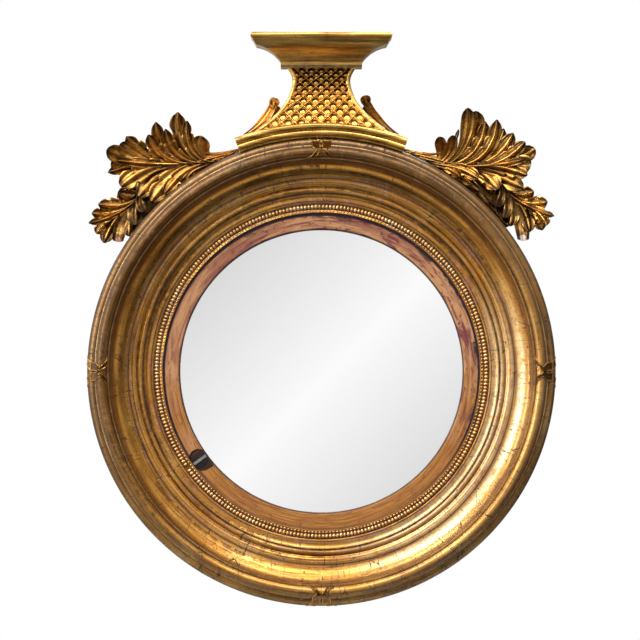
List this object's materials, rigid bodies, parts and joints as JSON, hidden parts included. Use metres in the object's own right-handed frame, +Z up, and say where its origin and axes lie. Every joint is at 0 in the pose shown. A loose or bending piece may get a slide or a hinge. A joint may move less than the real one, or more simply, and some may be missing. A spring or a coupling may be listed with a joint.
{
  "type": "convex wall mirror",
  "caption": "Round convex wall mirror in a carved, gilded and reeded frame with a beaded sight edge, leaf sprays and a latticed pedestal on top.",
  "frame": {"origin": "centre of the ring on the wall plane, which is the back face of the back ring", "axes": "+Z up, +Y into the wall, the mirror faces -Y, +X to the right of someone who looks at it"},
  "size_m": [0.8044, 0.124, 0.9797],
  "materials": {
    "gilt_wood": "water gilding over gesso, burnished, rubbed and darkened with age",
    "aged_pine": "unfinished pine, darkened",
    "worn_slip": "bare worn wood with traces of red bole",
    "steel_clip": "dull steel",
    "iron_strap": "forged and blackened",
    "brass_hanger": "tarnished brass",
    "mirror_glass": "silvered convex plate"
  },
  "bodies": {
    "frame": {"back_ring": "aged_pine", "reeded_rim": "gilt_wood", "cove_moulding": "gilt_wood", "stepped_moulding": "gilt_wood", "sight_moulding": "gilt_wood", "bead_course": "gilt_wood", "slip": "worn_slip", "slip_clip": "steel_clip", "convex_glass": "mirror_glass", "glass_blocks": "aged_pine", "backboard": "aged_pine", "ribbon_tie_top": "gilt_wood", "ribbon_tie_right": "gilt_wood", "ribbon_tie_bottom": "gilt_wood", "ribbon_tie_left": "gilt_wood", "pedestal_plate": "gilt_wood", "pedestal_cornice": "gilt_wood", "pedestal_neck": "gilt_wood", "pedestal_border": "gilt_wood", "pedestal_lattice": "gilt_wood", "pedestal_saddle": "gilt_wood", "left_upper_leaf": "gilt_wood", "left_lower_leaf": "gilt_wood", "right_upper_leaf": "gilt_wood", "right_lower_leaf": "gilt_wood", "left_bracket": "gilt_wood", "right_bracket": "gilt_wood", "pedestal_strap": "iron_strap", "left_upper_strap": "iron_strap", "left_lower_strap": "iron_strap", "right_upper_strap": "iron_strap", "right_lower_strap": "iron_strap", "left_hanger_strap": "brass_hanger", "right_hanger_strap": "brass_hanger", "hanger_screws": "steel_clip"},
    "left_ring": {"left_hanger_ring": "brass_hanger"},
    "right_ring": {"right_hanger_ring": "brass_hanger"}
  },
  "joints": [
    {"name": "left_ring_hinge", "type": "hinge", "parent": "frame", "child": "left_ring", "pos_m": [-0.312, -0.0046, 0.092], "axis": [1, 0, 0], "range_deg": [-5, 178]},
    {"name": "right_ring_hinge", "type": "hinge", "parent": "frame", "child": "right_ring", "pos_m": [0.312, -0.0046, 0.092], "axis": [1, 0, 0], "range_deg": [-5, 178]}
  ]
}
